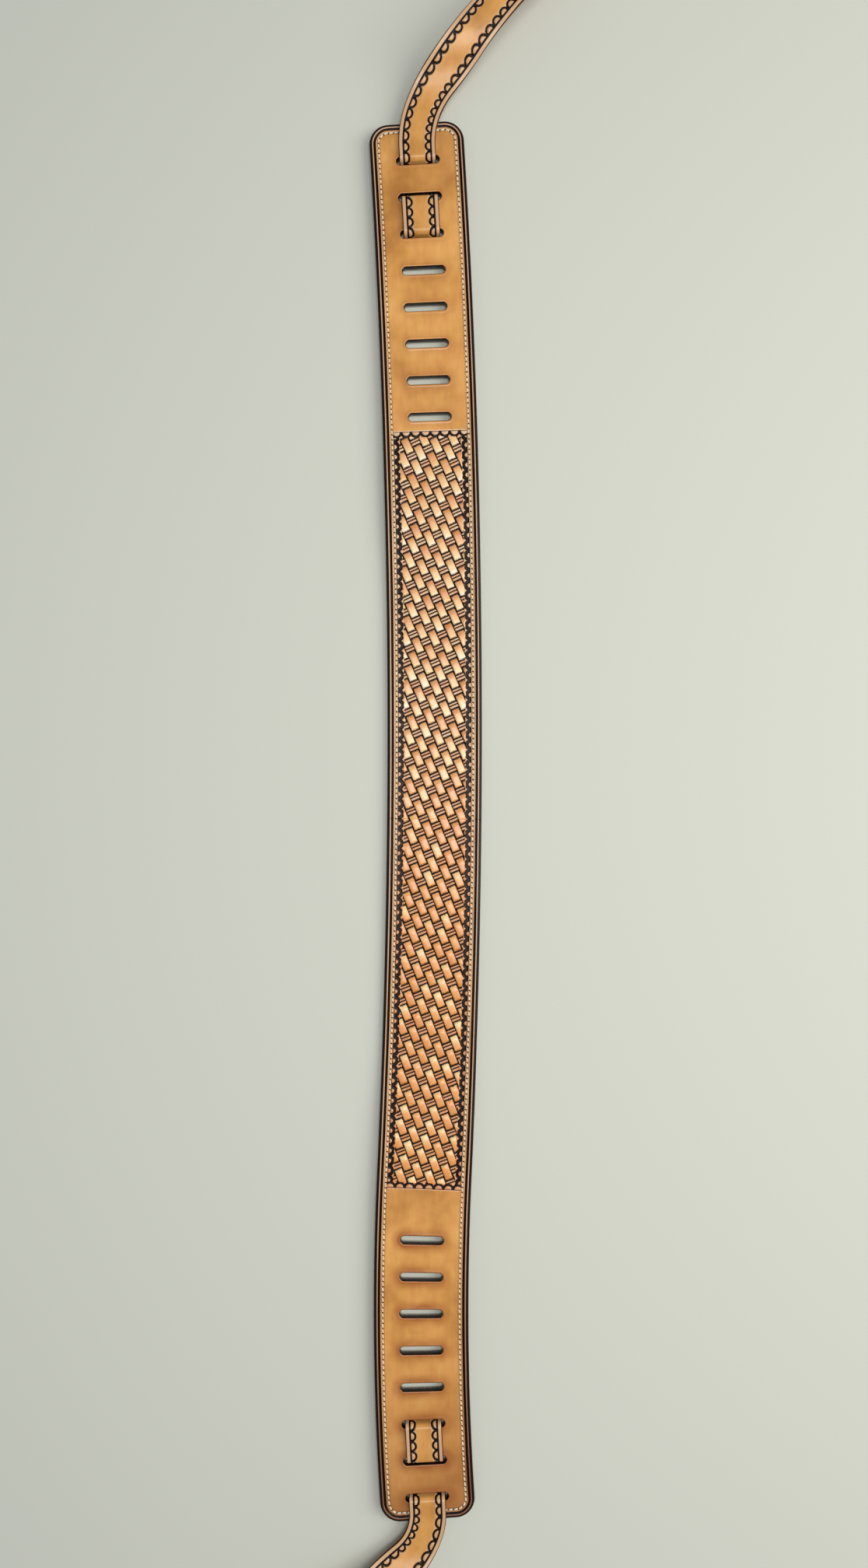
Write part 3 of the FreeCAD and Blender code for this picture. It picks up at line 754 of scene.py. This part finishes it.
def mix(tree, factor, first, second, kind="MIX"):
    node = tree.nodes.new("ShaderNodeMix")
    node.data_type = "RGBA"
    node.blend_type = kind
    colour_inputs = [i for i in node.inputs if i.type == "RGBA"]
    factor_input = [i for i in node.inputs if i.type == "VALUE"][0]
    for socket, given in ((factor_input, factor), (colour_inputs[0], first), (colour_inputs[1], second)):
        if isinstance(given, (int, float, tuple)):
            socket.default_value = given
        else:
            tree.links.new(given, socket)
    return [o for o in node.outputs if o.type == "RGBA"][0]


def calculate(tree, kind, *values):
    node = tree.nodes.new("ShaderNodeMath")
    node.operation = kind
    for socket, given in zip(node.inputs, values):
        if isinstance(given, (int, float)):
            socket.default_value = given
        else:
            tree.links.new(given, socket)
    return node.outputs["Value"]


def between(tree, value, low, high):
    """0 at low, 1 at high, straight between them and held beyond; low may be the greater."""
    node = tree.nodes.new("ShaderNodeMapRange")
    node.inputs["From Min"].default_value = low
    node.inputs["From Max"].default_value = high
    tree.links.new(value, node.inputs["Value"])
    return node.outputs["Result"]


def bump(tree, shader, heights):
    """Bumps laid over each other: (height, strength, distance in metres)."""
    normal = None
    for height, strength, distance in heights:
        node = tree.nodes.new("ShaderNodeBump")
        node.inputs["Strength"].default_value = strength
        node.inputs["Distance"].default_value = distance
        tree.links.new(height, node.inputs["Height"])
        if normal:
            tree.links.new(normal, node.inputs["Normal"])
        normal = node.outputs["Normal"]
    tree.links.new(normal, shader.inputs["Normal"])


def leather(name, light, base, dark, bead_colour, panel):
    """Antiqued veg-tan leather: mottled tan, amber halos, dark dye in every recess with painted shade along
    the strand sides, stitch holes and edge, painted highlights on the strand ends, a glossy finish.
    """
    material, tree, shader = new_material(name, {"Coat Roughness": 0.18})
    place = tree.nodes.new("ShaderNodeSeparateXYZ")
    tree.links.new(attribute(tree, "flat", "Vector"), place.inputs["Vector"])
    along = place.outputs["Y"]
    colour = ramp(tree, noise(tree, 24.0, 3.0, 0.6), [(0.32, dark), (0.5, base), (0.68, light)])
    streaks = ramp(tree, noise(tree, 260.0, 3.0, 0.6, (1.0, 0.22, 1.0)),
                   [(0.3, linear(104, 104, 104)), (0.7, linear(166, 166, 166))])
    colour = mix(tree, 0.35, colour, streaks, "OVERLAY")
    if panel:
        tone = attribute(tree, "tone")
        # painted highlight: the palest stops are reached only at each strand's pale end
        orange = ramp(tree, tone, [(0.25, linear(220, 172, 122)), (0.5, linear(222, 156, 70)),
                                   (0.75, linear(242, 188, 106)), (0.95, linear(252, 228, 186))])
        peach = ramp(tree, tone, [(0.25, linear(228, 204, 172)), (0.5, linear(224, 166, 94)),
                                  (0.75, linear(244, 206, 152)), (0.95, linear(253, 236, 214))])
        # above the middle the strands take the paler peach ramp: partly their own colour, partly painted
        # glare
        upward = between(tree, along, -0.12, 0.02)
        strands = mix(tree, upward, orange, peach)
        cloudy = ramp(tree, noise(tree, 190.0, 3.0, 0.6),
                      [(0.35, linear(112, 100, 92)), (0.65, linear(150, 150, 150))])
        strands = mix(tree, 0.5, strands, cloudy, "OVERLAY")
        colour = mix(tree, calculate(tree, "GREATER_THAN", tone, 0.15), colour, strands)
        uneven = calculate(tree, "ADD", calculate(tree, "MULTIPLY", noise(tree, 70.0, 2.0), 2.2), 0.1)
        halo = calculate(tree, "MULTIPLY", attribute(tree, "halo"), uneven)
        colour = mix(tree, halo, colour, linear(170, 98, 30))
        patches = between(tree, noise(tree, 38.0, 3.0, 0.6), 0.3, 0.6)
        stain = calculate(tree, "MULTIPLY", between(tree, along, 0.33, 0.46), patches)
        colour = mix(tree, calculate(tree, "MULTIPLY", stain, 0.7), colour, linear(140, 92, 40))
        reddening = calculate(tree, "MULTIPLY", between(tree, along, -0.40, -0.54), 0.55)
        colour = mix(tree, reddening, colour, linear(150, 88, 44))
        worn = mix(tree, between(tree, along, -0.30, -0.48), bead_colour, linear(112, 70, 54))
    else:
        worn = bead_colour
    colour = mix(tree, calculate(tree, "MULTIPLY", attribute(tree, "bead"), 0.8), colour, worn)
    ragged = calculate(tree, "SUBTRACT", noise(tree, 1000.0, 2.0, 0.6), 0.5)
    ragged = calculate(tree, "MULTIPLY", ragged, 0.4)
    dyed = between(tree, calculate(tree, "ADD", attribute(tree, "dye"), ragged), 0.2, 0.55)
    colour = mix(tree, dyed, colour, linear(24, 10, 8))
    rough = calculate(tree, "ADD", 0.30, calculate(tree, "MULTIPLY", noise(tree, 300.0, 3.0, 0.6), 0.2))
    gloss = calculate(tree, "SUBTRACT", 1.0, calculate(tree, "MULTIPLY", dyed, 0.85))
    pores = tree.nodes.new("ShaderNodeTexVoronoi")
    pores.inputs["Scale"].default_value = 1500.0
    tree.links.new(attribute(tree, "flat", "Vector"), pores.inputs["Vector"])
    if not panel:
        back = attribute(tree, "back")
        flesh = ramp(tree, noise(tree, 900.0, 6.0, 0.75, (1.0, 0.35, 1.0)),
                     [(0.3, linear(140, 100, 60)), (0.7, linear(190, 148, 102))])
        colour = mix(tree, back, colour, flesh)
        rough = calculate(tree, "ADD", rough, calculate(tree, "MULTIPLY", back, 0.5))
        gloss = calculate(tree, "SUBTRACT", gloss, back)
    tree.links.new(colour, shader.inputs["Base Color"])
    tree.links.new(rough, shader.inputs["Roughness"])
    tree.links.new(calculate(tree, "MULTIPLY", gloss, 0.5 if panel else 0.2), shader.inputs["Coat Weight"])
    specular = calculate(tree, "ADD", calculate(tree, "MULTIPLY", gloss, 0.4), 0.08)
    tree.links.new(specular, shader.inputs["Specular IOR Level"])
    bump(tree, shader, [(pores.outputs["Distance"], 0.15, 0.00025),
                        (noise(tree, 420.0, 4.0, 0.65), 0.25, 0.0004)])
    return material


def suede(name):
    """The flesh side: fibrous and matt, with dyed edges."""
    material, tree, shader = new_material(name, {"Roughness": 0.9, "Specular IOR Level": 0.25,
                                                   "Sheen Weight": 0.25})
    fibre = noise(tree, 900.0, 6.0, 0.75, (1.0, 0.35, 1.0))
    colour = ramp(tree, fibre, [(0.3, linear(134, 96, 58)), (0.7, linear(184, 142, 96))])
    cloudy = ramp(tree, noise(tree, 30.0), [(0.35, linear(120, 82, 48)), (0.7, linear(196, 156, 108))])
    colour = mix(tree, 0.35, colour, cloudy)
    colour = mix(tree, attribute(tree, "dye"), colour, linear(30, 15, 10))
    tree.links.new(colour, shader.inputs["Base Color"])
    bump(tree, shader, [(fibre, 0.6, 0.0006)])
    return material


def thread(name):
    material, tree, shader = new_material(name, {"Roughness": 0.6, "Specular IOR Level": 0.4,
                                                   "Sheen Weight": 0.2})
    colour = ramp(tree, noise(tree, 700.0, 3.0),
                  [(0.3, linear(206, 186, 150)), (0.7, linear(244, 232, 208))])
    tree.links.new(colour, shader.inputs["Base Color"])
    bump(tree, shader, [(noise(tree, 2600.0, 2.0), 0.4, 0.0002)])
    return material


# ---------------------------------------------------------------- making it all

face_material = leather("tooled_leather", linear(236, 184, 100), linear(222, 164, 80), linear(198, 134, 54),
                        linear(190, 154, 130), True)
strap_material = leather("strap_leather", linear(234, 184, 108), linear(220, 164, 84), linear(194, 132, 58),
                         linear(208, 170, 136), False)
lining_material = suede("lining_leather")
thread_material = thread("thread")


def over_flex(piece):
    """Bakes the piece's transform into its mesh."""
    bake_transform(piece)


for part in ("upper", "lower"):
    face = panel_leather("face_" + part, part, PANEL, LINING, face_relief, 0.42, 1.0, face_material)
    lining = panel_leather("lining_" + part, part, 0.0, LINING, lining_relief, 1.2, 1.4, lining_material)
    needle = stitch_run("needle_stitches_" + part, part, PANEL + 0.05, PANEL - 0.7, 1, 1.15, thread_material)
    bobbin = stitch_run("bobbin_stitches_" + part, part, 0.32, 0.9, -1, 0.6, thread_material)
    own = (part + "_end", "middle") if part == "upper" else (part + "_end",)
    for piece, node, finish in ((face, "face", "tooled_leather"), (lining, "lining", "lining_leather"),
                                (needle, "needle_thread", "thread"), (bobbin, "bobbin_thread", "thread")):
        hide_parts(*[f"{node}_{place}" for place in own])
        over_flex(piece)

for end in ("upper", "lower"):
    strap = narrow_strap(end + "_narrow_strap", end, strap_material)
    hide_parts(*[f"{piece}_{end}_strap" for piece in ("laced", "tail", "run", "tab")])
    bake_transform(strap)

# ---------------------------------------------------------------- floor, light and camera

bpy.ops.mesh.primitive_plane_add(size=24.0, location=(0, 0, -0.0002))
floor = bpy.context.object
floor.name = "floor"
floor_material, _, floor_shader = new_material("floor", {"Roughness": 0.9, "Specular IOR Level": 0.2})
floor_shader.inputs["Base Color"].default_value = linear(208, 209, 198)
floor.data.materials.append(floor_material)

world = bpy.data.worlds.new("world")
bpy.context.scene.world = world
world.use_nodes = True
world.node_tree.nodes["Background"].inputs["Color"].default_value = (0.86, 0.93, 1.0, 1)
world.node_tree.nodes["Background"].inputs["Strength"].default_value = 0.3


def area_light(name, place, target, size, power, colour):
    light = bpy.data.lights.new(name, "AREA")
    light.shape = "RECTANGLE"
    light.size, light.size_y = size
    light.energy = power
    light.color = colour
    lamp = bpy.data.objects.new(name, light)
    lamp.location = place
    lamp.rotation_euler = (Vector(target) - Vector(place)).to_track_quat("-Z", "Y").to_euler()
    bpy.context.scene.collection.objects.link(lamp)


area_light("window", (1.5, 0.1, 1.3), (0, 0, 0), (1.0, 1.6), 25.5, (1.0, 0.98, 0.94))
area_light("overhead", (0.12, 0.03, 1.6), (0, 0, 0), (0.55, 0.7), 10.5, (1.0, 0.99, 0.96))
bpy.context.scene.view_settings.view_transform = "Standard"

CAMERA_HEIGHT = 0.766
lens = bpy.data.cameras.new("camera")
lens.sensor_fit = "AUTO"
lens.sensor_width = 36.0
lens.lens = 26.0
camera = bpy.data.objects.new("camera", lens)
camera.location = (0.0042, 0.0235, CAMERA_HEIGHT)
camera.rotation_euler = (0, 0, 0)
bpy.context.scene.collection.objects.link(camera)
bpy.context.scene.camera = camera
